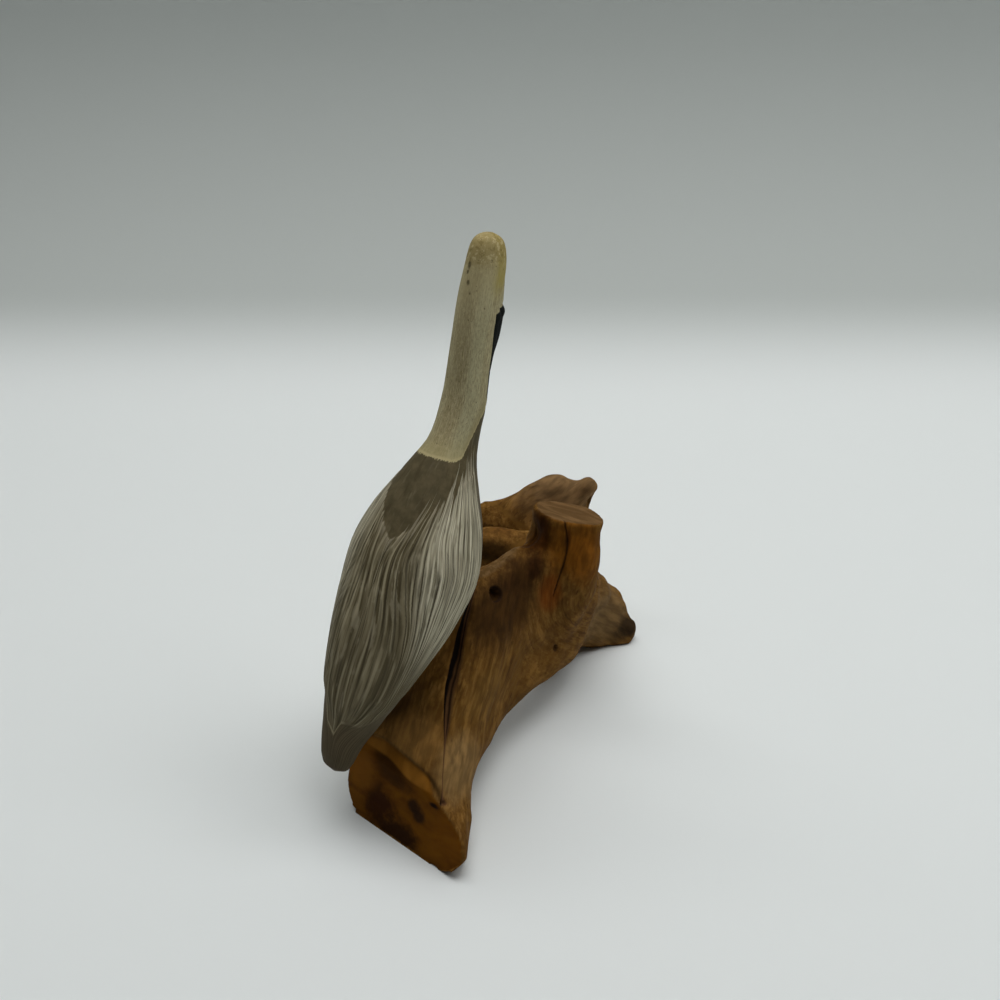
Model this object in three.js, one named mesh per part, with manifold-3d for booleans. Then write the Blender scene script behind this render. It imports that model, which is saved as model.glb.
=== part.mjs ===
// A small carved and painted pelican perched on a piece of driftwood.
// Millimetres, +Z up. The bird faces +Y and its right side is +X.
// The origin is the middle of the footprint, at floor level.
// Working coordinates: x is measured from the bird's middle plane, y from the tip of its tail,
// z from the floor. The whole group is shifted to the origin at the end.

import * as THREE from "three";
import { mergeVertices } from "three/addons/utils/BufferGeometryUtils.js";
import Module from "manifold-3d";

const wasm = await Module();
wasm.setup();

// Driving dimensions of the pelican: the middle line of body and neck in the bird's middle plane,
// with the half width and half depth of the section there, from the tail tip to the crown.
const BODY_LINE = [
  { y: -0.4, z: 21.2, wide: 3.6, deep: 2.0 },
  { y: 2.8, z: 28.0, wide: 5.3, deep: 3.2 },
  { y: 7.4, z: 34.2, wide: 7.9, deep: 4.8 },
  { y: 12.6, z: 40.8, wide: 10.4, deep: 6.8 },
  { y: 18.2, z: 47.0, wide: 12.7, deep: 8.8 },
  { y: 24.0, z: 53.0, wide: 14.4, deep: 10.6 },
  { y: 30.8, z: 61.2, wide: 15.4, deep: 11.8 },
  { y: 36.2, z: 69.6, wide: 13.0, deep: 10.8 },
  { y: 41.0, z: 77.2, wide: 8.8, deep: 8.8 },
  { y: 45.8, z: 84.4, wide: 5.3, deep: 6.0 },
  { y: 50.2, z: 93.3, wide: 4.9, deep: 5.1 },
  { y: 52.9, z: 103.5, wide: 4.6, deep: 4.8 },
  { y: 55.8, z: 113.5, wide: 4.5, deep: 5.0 },
  { y: 58.7, z: 122.2, wide: 4.0, deep: 5.0 },
  { y: 60.2, z: 128.8, wide: 3.3, deep: 4.2 },
];
// The head and the bill that lies down the front of the neck, from the crown to the bill's tip.
const BILL_LINE = [
  { y: 58.6, z: 126.8, wide: 3.2, deep: 3.4 },
  { y: 59.4, z: 121.8, wide: 3.6, deep: 4.1 },
  { y: 59.6, z: 116.5, wide: 3.5, deep: 4.3 },
  { y: 59.6, z: 111.0, wide: 2.7, deep: 4.2 },
  { y: 58.0, z: 104.0, wide: 2.4, deep: 3.5 },
  { y: 55.8, z: 95.5, wide: 1.9, deep: 2.7 },
  { y: 53.2, z: 87.5, wide: 1.5, deep: 2.1 },
  { y: 50.6, z: 79.5, wide: 1.0, deep: 1.4 },
];
// The share of each line that is rounded off at its ends, and the number of facets.
const BODY_CAPS = { start: 0.04, end: 0.05 };
const BILL_CAPS = { start: 0.12, end: 0.06 };
const BODY_FACETS = { around: 36, along: 52 };
const BILL_FACETS = { around: 16, along: 24 };
// How far the folded wings stand proud of the back.
const WING_STEP = 0.5;
// The belly side of each section is deeper than its back by this factor.
const BELLY = 1.16;

// Driving dimensions of the driftwood: each limb is a chain of sections with the half size across
// and the half size upward.
const LIMBS = {
  log: [
    { x: 7.8, y: 0, z: 8.5, across: 14.6, high: 9 },
    { x: 7.8, y: 12, z: 8.7, across: 14.6, high: 9.6 },
    { x: 6, y: 22, z: 13.5, across: 14, high: 11.2 },
    { x: 4.5, y: 35, z: 24, across: 11.5, high: 11.2 },
    { x: 3.5, y: 46, z: 33, across: 9, high: 10.5 },
    { x: 3, y: 56, z: 37, across: 6.5, high: 9 },
  ],
  saddle: [
    { x: -1, y: 29.5, z: 31, across: 6, high: 5 },
    { x: -1, y: 35, z: 36, across: 7, high: 9 },
    { x: 0, y: 43, z: 43, across: 6, high: 10 },
  ],
  ridge: [
    { x: 27.6, y: 2, z: 4.5, across: 6, high: 8.6 },
    { x: 21, y: 12, z: 7, across: 5.5, high: 7.5 },
    { x: 11.4, y: 24, z: 13.5, across: 5, high: 10 },
    { x: 10.8, y: 38, z: 24, across: 5.5, high: 13 },
    { x: 9.5, y: 54, z: 28, across: 6, high: 17 },
    { x: 10, y: 70, z: 27, across: 7, high: 17 },
    { x: 10, y: 80, z: 24, across: 8, high: 15 },
  ],
  keel: [
    { x: 9.8, y: 34, z: 16, across: 6.3, high: 7 },
    { x: 10.3, y: 52, z: 15.5, across: 6.6, high: 6.5 },
    { x: 11.5, y: 80, z: 15.5, across: 5.8, high: 7.5 },
  ],
  crest: [
    { x: 5.5, y: 44, z: 39.5, across: 5, high: 9 },
    { x: 5.5, y: 56, z: 40, across: 4, high: 8.5 },
    { x: 9, y: 66, z: 42, across: 5, high: 9 },
  ],
  stub: [
    { x: 11.5, y: 73, z: 28, across: 8.5, high: 9 },
    { x: 15, y: 72, z: 46, across: 10, high: 5.5 },
    { x: 14.9, y: 74, z: 68, across: 10, high: 4.8 },
  ],
  foot: [
    { x: 9.8, y: 82, z: 27, across: 8, high: 12 },
    { x: 8.6, y: 91, z: 16, across: 7, high: 12.3 },
    { x: 10.5, y: 98, z: 8, across: 6.6, high: 10.5 },
    { x: 14.5, y: 102, z: 3.5, across: 5.2, high: 6.5 },
    { x: 17.3, y: 103.8, z: 2.6, across: 4.4, high: 5 },
  ],
  slab: [
    { x: -0.9, y: 112.8, z: 41.3, across: 3.4, high: 4.6 },
    { x: -4.5, y: 110, z: 37.2, across: 4, high: 7 },
    { x: -9, y: 107, z: 34, across: 5, high: 12 },
    { x: -19, y: 95, z: 23, across: 5.5, high: 17 },
  ],
  heel: [
    { x: -15, y: 98, z: 20, across: 7, high: 9 },
    { x: -19, y: 98, z: 10, across: 6, high: 7.5 },
    { x: -21, y: 99, z: 1, across: 5, high: 6.5 },
  ],
  ledge: [
    { x: 2, y: 88, z: 32, across: 5, high: 7 },
    { x: -14, y: 78, z: 32, across: 6, high: 9 },
  ],
  bridge: [
    { x: 6, y: 84, z: 22, across: 8, high: 12 },
    { x: -5, y: 98, z: 22, across: 8, high: 14 },
  ],
};
// How square the sections of a limb are: 2 is an ellipse.
const SQUARENESS = { log: 2.8 };
// Radius of the hollows where limbs meet, and height of the lumps of weathered wood.
const BLEND = 4;
const GNARL = 0.7;
// Fineness of the surface grid and of the links that a limb is made of.
const GRID_STEP = 2.8;
const LIMB_STEPS = 8;
const CUT_BOX = 400;
// The flat saw cuts: a point on each, how far it leans back and how far it turns to the right.
const FRONT_CUT = { y: 6.9, z: 0, leanDegrees: 16, turnDegrees: -4 };
const BEVEL_CUT = { y: 11.7, z: 16.3, leanDegrees: 36, turnDegrees: -4 };
const STUB_CUT_HEIGHT = 58;
// Room between the bird and the seat that the driftwood holds for it.
const SEAT_GAP = 0.3;
// Detail smaller than this is smoothed out of the finished solids.
const SMALLEST_STEP = 0.02;

const PAINTED_WOOD = new THREE.MeshStandardMaterial({ color: 0x8b8474, roughness: 0.7, metalness: 0 });
const DRIFTWOOD = new THREE.MeshStandardMaterial({ color: 0x7a4f28, roughness: 0.6, metalness: 0 });

// Smooth interpolation of one measure of a list of stations at t from 0 to 1.
function measureAt(stations, key, t) {
  const place = Math.min(Math.max(t, 0), 1) * (stations.length - 1);
  const index = Math.min(Math.floor(place), stations.length - 2);
  const value = (i) => stations[Math.min(Math.max(i, 0), stations.length - 1)][key];
  const [before, start, end, after] = [-1, 0, 1, 2].map((step) => value(index + step));
  const u = place - index;
  const bend = 3 * (start - end) + after - before;
  const sag = 2 * before - 5 * start + 4 * end - after;
  return start + 0.5 * u * (end - before + u * (sag + u * bend));
}

// Rounds off the first and last stretch of a limb, from 0 at the very end to 1.
function capAt(t, caps) {
  const fromStart = Math.min(t / caps.start, 1);
  const fromEnd = Math.min((1 - t) / caps.end, 1);
  const round = (u) => Math.sqrt(Math.max(0, 1 - (1 - u) ** 2));
  return round(fromStart) * round(fromEnd);
}

// How far the folded wings stand proud of the body: 1 on the back and sides, 0 on belly, tail and neck.
function wingShare(t, turn) {
  const wingStart = 0.11 + 0.05 * Math.abs(Math.cos(turn));
  const wingEnd = 0.5 + 0.06 * Math.abs(Math.cos(turn));
  const alongBody = THREE.MathUtils.smoothstep(t, wingStart, wingStart + 0.02)
    * (1 - THREE.MathUtils.smoothstep(t, wingEnd - 0.1, wingEnd));
  const overTheSide = THREE.MathUtils.smoothstep(Math.sin(turn), -0.35, -0.2);
  return alongBody * overTheSide;
}

// A closed solid whose sections follow a line of stations in the bird's middle plane:
// a sphere whose rings of vertices are moved onto the sections.
function loft(stations, caps, facets, grow, wingStep, bellyShare) {
  const geometry = new THREE.SphereGeometry(1, facets.around, facets.along);
  const position = geometry.attributes.position;
  const middle = (t) => new THREE.Vector3(0, measureAt(stations, "y", t), measureAt(stations, "z", t));
  const point = new THREE.Vector3();
  for (let i = 0; i < position.count; i += 1) {
    point.fromBufferAttribute(position, i);
    const t = Math.acos(THREE.MathUtils.clamp(-point.y, -1, 1)) / Math.PI;
    const ahead = middle(Math.min(t + 0.01, 1)).sub(middle(Math.max(t - 0.01, 0))).normalize();
    const backward = new THREE.Vector3(0, -ahead.z, ahead.y);
    const turn = Math.atan2(point.z, point.x);
    const ringShare = capAt(t, caps);
    const proud = wingStep * wingShare(t, turn);
    const wide = (measureAt(stations, "wide", t) + proud) * ringShare + grow;
    const belly = turn < 0 ? THREE.MathUtils.lerp(1, BELLY, bellyShare) : 1;
    const deep = (measureAt(stations, "deep", t) * belly + proud) * ringShare + grow;
    const atPole = Math.abs(point.y) > 0.99999;
    const centre = middle(t).addScaledVector(ahead, atPole ? Math.sign(t - 0.5) * grow : 0);
    centre.x += atPole ? 0 : wide * Math.cos(turn);
    centre.addScaledVector(backward, atPole ? 0 : deep * Math.sin(turn));
    position.setXYZ(i, centre.x, centre.y, centre.z);
  }
  return geometry;
}

// Turns a geometry into a solid that can be joined and cut.
function toSolid(geometry) {
  const bare = geometry.clone();
  bare.deleteAttribute("normal");
  bare.deleteAttribute("uv");
  const merged = mergeVertices(bare, 1e-4);
  const vertProperties = new Float32Array(merged.attributes.position.array);
  const triVerts = new Uint32Array(merged.index.array);
  return new wasm.Manifold(new wasm.Mesh({ numProp: 3, vertProperties, triVerts }));
}

function toGeometry(solid) {
  const mesh = solid.simplify(SMALLEST_STEP).getMesh();
  const geometry = new THREE.BufferGeometry();
  geometry.setAttribute("position", new THREE.BufferAttribute(mesh.vertProperties, 3));
  geometry.setIndex(new THREE.BufferAttribute(mesh.triVerts, 1));
  geometry.computeVertexNormals();
  return geometry;
}

// The bird as one carved piece, optionally grown all over to make the seat that it sits in.
function pelicanSolid(grow = 0) {
  const body = toSolid(loft(BODY_LINE, BODY_CAPS, BODY_FACETS, grow, WING_STEP, 1));
  const bill = toSolid(loft(BILL_LINE, BILL_CAPS, BILL_FACETS, grow, 0, 0));
  return body.add(bill);
}

// One limb of the driftwood as short straight links, each with its own axes and half sizes.
function limbLinks(name) {
  const stations = LIMBS[name];
  const power = SQUARENESS[name] ?? 2;
  const links = [];
  const place = (t) => new THREE.Vector3(
    measureAt(stations, "x", t), measureAt(stations, "y", t), measureAt(stations, "z", t));
  const count = LIMB_STEPS * (stations.length - 1);
  for (let i = 0; i < count; i += 1) {
    const t = i / count;
    const next = (i + 1) / count;
    const start = place(t);
    const axis = place(next).sub(start);
    const length = axis.length();
    axis.normalize();
    const upright = Math.abs(axis.z) > 0.8;
    const side = upright ? new THREE.Vector3(1, 0, 0) : new THREE.Vector3(axis.y, -axis.x, 0).normalize();
    const lift = new THREE.Vector3().crossVectors(side, axis).normalize();
    side.crossVectors(axis, lift);
    links.push({
      start, axis, length, side, lift, power,
      across: [measureAt(stations, "across", t), measureAt(stations, "across", next)],
      high: [measureAt(stations, "high", t), measureAt(stations, "high", next)],
    });
  }
  return links;
}

// Distance-like value to one link: below zero inside it.
function linkField(link, point, offset) {
  offset.subVectors(point, link.start);
  const along = offset.dot(link.axis);
  const share = THREE.MathUtils.clamp(along / link.length, 0, 1);
  const across = THREE.MathUtils.lerp(link.across[0], link.across[1], share);
  const high = THREE.MathUtils.lerp(link.high[0], link.high[1], share);
  const beyond = along - share * link.length;
  const small = Math.min(across, high);
  const ratios = [offset.dot(link.side) / across, offset.dot(link.lift) / high, beyond / small];
  const reach = ratios.reduce((sum, ratio) => sum + Math.abs(ratio) ** link.power, 0) ** (1 / link.power);
  return (reach - 1) * small;
}

// Joins two fields with a rounded hollow between them.
function blendFields(a, b, radius) {
  const share = Math.max(radius - Math.abs(a - b), 0) / radius;
  return Math.min(a, b) - share * share * radius * 0.25;
}

// Shallow lumps of weathered wood.
function gnarlAt({ x, y, z }) {
  const broad = Math.sin(0.21 * x + 0.5 + Math.sin(0.17 * z)) * Math.sin(0.16 * y + 0.23 * z);
  const close = Math.sin(0.45 * x + 0.2 * y) * Math.sin(0.33 * z - 0.31 * y + 1);
  return GNARL * (broad + 0.6 * close);
}

function driftwoodField() {
  const limbs = Object.keys(LIMBS).map(limbLinks);
  const offset = new THREE.Vector3();
  return (point) => {
    let value = Infinity;
    for (const links of limbs) {
      let limb = Infinity;
      for (const link of links) {
        limb = Math.min(limb, linkField(link, point, offset));
      }
      value = value === Infinity ? limb : blendFields(value, limb, BLEND);
    }
    return value + gnarlAt(point);
  };
}

// The surface where a field is zero: one vertex in each cell of a grid that the surface crosses,
// and one quad around each grid edge that it crosses.
function surfaceOf(field, low, high, step) {
  const size = [0, 1, 2].map((k) => Math.ceil((high.getComponent(k) - low.getComponent(k)) / step) + 1);
  const strides = [1, size[0], size[0] * size[1]];
  const values = new Float32Array(size[0] * size[1] * size[2]);
  const corner = (x, y, z) => new THREE.Vector3(low.x + x * step, low.y + y * step, low.z + z * step);
  const indexOf = (cell) => cell[0] + cell[1] * strides[1] + cell[2] * strides[2];
  const forEachCell = (visit) => {
    for (let z = 0; z < size[2] - 1; z += 1) {
      for (let y = 0; y < size[1] - 1; y += 1) {
        for (let x = 0; x < size[0] - 1; x += 1) {
          visit([x, y, z]);
        }
      }
    }
  };
  for (let z = 0; z < size[2]; z += 1) {
    for (let y = 0; y < size[1]; y += 1) {
      for (let x = 0; x < size[0]; x += 1) {
        values[indexOf([x, y, z])] = field(corner(x, y, z));
      }
    }
  }
  const vertices = [];
  const vertexOf = new Map();
  forEachCell((cell) => {
    const sum = new THREE.Vector3();
    let crossings = 0;
    for (let axis = 0; axis < 3; axis += 1) {
      for (let pair = 0; pair < 4; pair += 1) {
        const from = [...cell];
        from[(axis + 1) % 3] += pair & 1;
        from[(axis + 2) % 3] += pair >> 1;
        const a = values[indexOf(from)];
        const b = values[indexOf(from) + strides[axis]];
        if (a < 0 !== b < 0) {
          const point = corner(...from);
          point.setComponent(axis, point.getComponent(axis) + (step * a) / (a - b));
          sum.add(point);
          crossings += 1;
        }
      }
    }
    if (crossings > 0) {
      vertexOf.set(indexOf(cell), vertices.length / 3);
      sum.divideScalar(crossings);
      vertices.push(sum.x, sum.y, sum.z);
    }
  });
  const triangles = [];
  forEachCell((cell) => {
    const here = indexOf(cell);
    for (let axis = 0; axis < 3; axis += 1) {
      const [u, v] = [strides[(axis + 1) % 3], strides[(axis + 2) % 3]];
      const inside = values[here] < 0;
      if (inside !== values[here + strides[axis]] < 0) {
        const ring = [here - u - v, here - v, here, here - u].map((index) => vertexOf.get(index));
        const [a, b, c, d] = inside ? ring : ring.reverse();
        triangles.push(a, b, c, a, c, d);
      }
    }
  });
  const geometry = new THREE.BufferGeometry();
  geometry.setAttribute("position", new THREE.BufferAttribute(new Float32Array(vertices), 3));
  geometry.setIndex(triangles);
  return geometry;
}

// A large box that takes away everything beyond a plane through a point. The plane starts out level,
// with the box above it.
function cutBox(point, tilt = 0, turn = 0) {
  const box = new THREE.BoxGeometry(CUT_BOX, CUT_BOX, CUT_BOX);
  box.translate(0, 0, CUT_BOX / 2);
  box.rotateX(tilt);
  box.rotateZ(turn);
  box.translate(0, point.y ?? 0, point.z);
  return toSolid(box);
}

function frontCutBox({ y, z, leanDegrees, turnDegrees }) {
  const tilt = THREE.MathUtils.degToRad(90 - leanDegrees);
  return cutBox({ y, z }, tilt, THREE.MathUtils.degToRad(turnDegrees));
}

function driftwoodSolid() {
  const low = new THREE.Vector3(-36, -12, -14);
  const high = new THREE.Vector3(40, 124, 76);
  const grown = toSolid(surfaceOf(driftwoodField(), low, high, GRID_STEP));
  return grown
    .subtract(cutBox({ z: 0 }, Math.PI))
    .subtract(frontCutBox(FRONT_CUT))
    .subtract(frontCutBox(BEVEL_CUT))
    .subtract(cutBox({ z: STUB_CUT_HEIGHT }))
    .subtract(pelicanSolid(SEAT_GAP));
}

function namedMesh(name, solid, material) {
  const mesh = new THREE.Mesh(toGeometry(solid), material);
  mesh.name = name;
  return mesh;
}

const group = new THREE.Group();
group.add(namedMesh("pelican", pelicanSolid(), PAINTED_WOOD));
group.add(namedMesh("driftwood", driftwoodSolid(), DRIFTWOOD));

const box = new THREE.Box3().setFromObject(group);
group.position.set(-(box.min.x + box.max.x) / 2, -(box.min.y + box.max.y) / 2, -box.min.z);
group.updateMatrixWorld(true);

export default group;
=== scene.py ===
"""A small carved and painted pelican perched on a piece of driftwood.

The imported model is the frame. Both pieces are rebuilt from it as finer meshes with carved and
weathered relief, and each gets its paint or its wood from a procedural material. Measurements are
in millimetres in the tables below, and in metres in the scene.
"""

import math

import bpy
import numpy as np
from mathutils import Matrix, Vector


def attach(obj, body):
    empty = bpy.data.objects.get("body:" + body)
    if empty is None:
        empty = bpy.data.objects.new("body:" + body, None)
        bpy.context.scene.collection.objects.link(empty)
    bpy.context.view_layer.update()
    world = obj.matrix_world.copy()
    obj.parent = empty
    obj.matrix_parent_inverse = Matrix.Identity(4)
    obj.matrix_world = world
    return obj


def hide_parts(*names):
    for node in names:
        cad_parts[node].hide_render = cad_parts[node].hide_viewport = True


MM = 0.001

# Where working coordinates start in the part's frame. The bird's tables and the saw cuts are in
# working coordinates, and its chips and the driftwood's other tables in the part's frame.
ORIGIN = np.array([-2.434, -56.993, 0.0])

# The bird's middle line from the tail to the crown: y, z, half width and half depth.
BODY_LINE = np.array([
    (-0.4, 21.2, 3.6, 2.0), (2.8, 28.0, 5.3, 3.2), (7.4, 34.2, 7.9, 4.8),
    (12.6, 40.8, 10.4, 6.8), (18.2, 47.0, 12.7, 8.8), (24.0, 53.0, 14.4, 10.6),
    (30.8, 61.2, 15.4, 11.8), (36.2, 69.6, 13.0, 10.8), (41.0, 77.2, 8.8, 8.8),
    (45.8, 84.4, 5.3, 6.0), (50.2, 93.3, 4.9, 5.1), (52.9, 103.5, 4.6, 4.8),
    (55.8, 113.5, 4.5, 5.0), (58.7, 122.2, 4.0, 5.0), (60.2, 128.8, 3.3, 4.2),
])
LINE_SAMPLES = 700

# Where the painted zones end: (angle from the middle of the back, share of the body line), with
# angles positive to the bird's right.
MANTLE_END = [(0, 0.452), (19, 0.486), (30, 0.511), (50, 0.549), (85, 0.592), (100, 0.603), (180, 0.59)]
NECK_END = [(0, 0.602), (45, 0.606), (64, 0.619), (80, 0.655), (100, 0.69), (130, 0.715), (180, 0.72)]
TAIL_END = [
    (-180, 0.5), (-130, 0.3), (-100, 0.24), (-70, 0.2), (-48, 0.158), (-26, 0.103), (0, 0.084),
    (10, 0.112), (49, 0.118), (62, 0.13), (78, 0.15), (100, 0.2), (130, 0.3), (180, 0.5),
]
# The wings' lower edge: share of the body line and angle.
WING_LOWER_EDGE = [(0.0, 118), (0.2, 122), (0.32, 124), (0.4, 116), (0.5, 108), (0.62, 104)]
# The body's half width: share of the body line and millimetres.
BODY_HALF_WIDTH = [(0.0, 3), (0.1, 5), (0.4, 14), (0.6, 6)]

# Lines that the feathers follow: the line's place across the wing in millimetres, then its
# (share of the body line, angle from the middle of the back).
FEATHER_GUIDES = [
    (-32, [(0.06, -130), (0.6, -130)]),
    (-21, [(0.06, -80), (0.1, -100), (0.2, -110), (0.4, -100), (0.6, -92)]),
    (-13, [(0.06, -40), (0.1, -64), (0.17, -82), (0.3, -74), (0.45, -58), (0.6, -62)]),
    (-6, [(0.06, -10), (0.1, -28), (0.17, -54), (0.25, -51), (0.34, -40), (0.4, -31), (0.45, -28),
          (0.5, -30), (0.6, -42)]),
    (-1.6, [(0.06, -2), (0.1, -6), (0.15, -9), (0.2, -7), (0.3, -4), (0.4, -8), (0.46, -10),
            (0.5, -14), (0.6, -26)]),
    (0, [(0.06, 0), (0.085, 1), (0.118, 8), (0.167, 6), (0.28, 7), (0.345, 3), (0.4, 0), (0.444, 3),
         (0.476, 8), (0.5, 12), (0.53, 18), (0.6, 30)]),
    (5, [(0.06, 8), (0.085, 12), (0.124, 46), (0.177, 60), (0.22, 58), (0.271, 52), (0.329, 41),
         (0.361, 33), (0.396, 25), (0.426, 21), (0.454, 22), (0.5, 28), (0.53, 34), (0.6, 48)]),
    (11, [(0.06, 50), (0.12, 72), (0.18, 79), (0.25, 74), (0.3, 68), (0.33, 64), (0.39, 58),
          (0.42, 54), (0.476, 47), (0.52, 50), (0.56, 56), (0.6, 64)]),
    (22, [(0.06, 90), (0.15, 100), (0.35, 98), (0.45, 93), (0.6, 92)]),
    (32, [(0.06, 130), (0.6, 130)]),
]
# Where feathers run along the body line, and how their guides are sampled and smoothed.
WING_SHARES = (0.06, 0.6)
GUIDE_SAMPLES = 109
GUIDE_WINDOW = 15

# The bill lies down the front of the neck: height and half width, from its tip to its base. Its
# paint starts a little in front of the neck's middle. The cheeks over it swell and end in a step.
BILL_SHAPE = [(78, 0.9), (84, 1.6), (88, 2.4), (94, 4.2), (99, 6.0), (120, 6.0)]
BILL_START = [(78, 3.0), (96, 2.8), (99, 2.4), (103, 2.0), (106, 1.5), (109, 1.2), (112, 1.1)]
BILL_TIP = 78
BILL_TOP = 112.2
BILL_STEP = 110.9
CHEEK_BOTTOM = (101, 106)
CHEEK_TOP = (112, 109)
# Heights between which the head's rounding sets in, and the height it is lifted from.
CROWN_HEIGHTS = (120, 125)
CROWN_LIFT_FROM = 118
# Small chips in the paint of the head: place and size.
CHIPS = [
    ((-3.0, -3.3, 122.7), 0.75), ((-3.1, -3.6, 121.6), 0.5), ((-2.5, -4.5, 119.7), 0.55),
    ((-1.6, -5.0, 117.4), 0.5), ((1.6, -1.6, 126.0), 0.6),
]
EYE_PLACE = (3.3, 62.6, 119.6)
EYE_RADIUS = 0.75
# Carved relief, in millimetres.
CARVING = {
    "wing": 0.16, "feather": 0.06, "facet": 0.14, "knife": 0.05, "lump": 0.06, "cheek": 0.4,
    "step": 0.5, "groove": 0.12,
}

# The driftwood's grain runs along these lines, in the part's frame.
GRAIN_LINES = {
    "trunk": [(19, -64, -6), (16, -48, 12), (13, -38, 21), (11, -28, 31), (9, -19, 41), (7, -10, 52),
              (5, -2, 62)],
    "stub": [(17, 52, -6), (15, 45, 4), (12, 34, 15), (12, 22, 24), (13, 12, 34), (13, 14, 46),
             (14, 16, 58), (14, 17, 70)],
    "root": [(6, 14, 28), (-2, 28, 31), (-12, 38, 34), (-8, 47, 38), (-3, 57, 43), (0, 66, 47)],
    "heel": [(-10, 32, 36), (-19, 40, 22), (-22, 41, 8), (-24, 42, -8)],
}
GRAIN_PLACES = ("trunk_grain", "stub_grain", "branch_grain")
GRAIN_BLEND = 1.6
GRAIN_SAMPLES = 160
# Lines on the driftwood's surface: points and the half width there.
LINES = {
    "crack": [
        (19.4, -46.5, 15.1, 0.45), (18.6, -45.4, 16.2, 0.1), (16.3, -41.9, 19.7, 0.07),
        (13.9, -38.0, 23.6, 0.14), (11.8, -34.7, 26.9, 0.42), (9.6, -30.8, 32.2, 0.62),
        (8.3, -27.6, 34.5, 0.7), (7.2, -25.3, 36.4, 0.75), (5.9, -21.9, 39.3, 0.6),
        (5.5, -19.2, 42.7, 0.45), (5.2, -16.4, 46.1, 0.3), (4.9, -13.5, 48.8, 0.12),
    ],
    "groove": [
        (14.3, 11.3, 57.6, 0.16), (15.0, 11.0, 55.0, 0.2), (15.5, 10.7, 51.0, 0.2),
        (15.3, 9.2, 46.0, 0.18), (14.7, 8.0, 41.8, 0.14), (14.3, 7.2, 38.5, 0.06),
    ],
    "bevel_top": [
        (-7.5, -42.7, 19.0, 0.2), (-3.6, -42.7, 19.8, 0.2), (-0.3, -42.5, 20.2, 0.2),
        (5.1, -43.2, 19.8, 0.2), (9.1, -43.8, 19.4, 0.2), (13.2, -44.3, 18.8, 0.2),
        (15.5, -44.6, 17.7, 0.2), (17.2, -45.2, 16.5, 0.22), (19.0, -46.2, 15.4, 0.25),
    ],
    "crest": [
        (2.1, -9.5, 48.2, 1.0), (2.9, -6.7, 48.3, 1.4), (3.4, 0, 48.2, 1.6), (4.2, 3.6, 48.8, 1.2),
        (4.6, 6.0, 49.4, 0.6),
    ],
}
DRAWN_SAMPLES = 300
# Stains, lighter places and painted shade: middle, reach along each axis, strength and screen colour.
STAINS_AND_SHADE = [
    # Darker flank under the crest: partly the wood's colour, partly painted shade.
    ((10, -9, 42), (13, 18, 12.5), 0.9, (55, 35, 14)),
    ((15, 13, 51), (10, 9, 12), 0.85, (116, 71, 18)),
    ((8, 1, 46.5), (7, 9, 6), 0.6, (44, 25, 9)),
    # Painted shade at the foot of the stub's left side.
    ((10.4, 4.5, 47), (3.5, 4, 6.5), 0.8, (40, 19, 5)),
    ((15.6, 10.6, 53.5), (1.2, 2, 4.5), 0.8, (60, 30, 8)),
    # The stub's left face: dark brown wood, deepened by painted shade.
    ((7.0, 9.5, 53), (6.5, 7, 13), 0.96, (53, 26, 1)),
    ((13.6, 6.4, 39.5), (3.5, 5, 8), 0.7, (112, 55, 8)),
    ((20, 12, 50), (6, 6, 12), 0.7, (132, 80, 22)),
    # Painted shadow of the bird's tail and lower wing on the log.
    ((-3, -37, 27), (8, 9, 9), 0.8, (56, 35, 14)),
    ((7, -41, 23), (9, 9, 9), 0.8, (146, 107, 56)),
    ((19, -38, 20), (7, 12, 13), 0.7, (138, 110, 70)),
    ((16, -22, 27), (6, 14, 10), 0.4, (120, 90, 44)),
    ((-13.5, 23.5, 41.5), (9, 9, 2.7), 0.8, (94, 62, 25)),
    # Painted shadow under the ledge.
    ((-12.2, 17, 36.5), (9, 7, 4), 0.92, (52, 34, 12)),
    ((-6, 47, 44), (22, 22, 15), 0.95, (121, 94, 62)),
    ((17, 36, 13), (14, 16, 16), 0.85, (116, 92, 60)),
    ((17.2, 45, 6), (7, 7, 5), 0.85, (34, 26, 18)),
    # Painted shade in the notch at the crack's lower end.
    ((18.2, -47.2, 14.3), (1.9, 1.6, 0.8), 0.95, (22, 13, 8)),
]
CUT_STAINS_AND_SHADE = [
    ((2, -49, 6), (6.5, 9, 8), 0.9, (48, 20, 3)),
    ((9, -50, 2), (9, 9, 5), 0.92, (42, 20, 3)),
    ((12.4, -47.8, 11), (2.4, 9, 2.2), 0.9, (40, 22, 9)),
    ((14.2, -48.2, 9.2), (2.6, 9, 2.4), 0.9, (40, 22, 9)),
    # Painted shade in the notch at the crack's lower end.
    ((18.0, -47.4, 14.0), (2.2, 2, 0.8), 0.95, (22, 13, 8)),
    ((23, -48, 8), (8, 9, 9), 0.5, (118, 70, 8)),
    ((-5, -46, 13), (7, 9, 10), 0.75, (130, 81, 20)),
    ((5, -48, 14), (8, 9, 2.5), 0.7, (62, 34, 6)),
]
# Borer holes: middle, radius and depth.
HOLES = [
    ((7.6, -8.8, 45.5), 1.8, 2.4),
    ((14.7, 8.4, 21.1), 0.65, 1.4),
    ((14.6, -18.8, 13.5), 0.4, 0.8),
    ((5.9, -20.4, 42.6), 0.45, 1.0),
]
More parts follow.
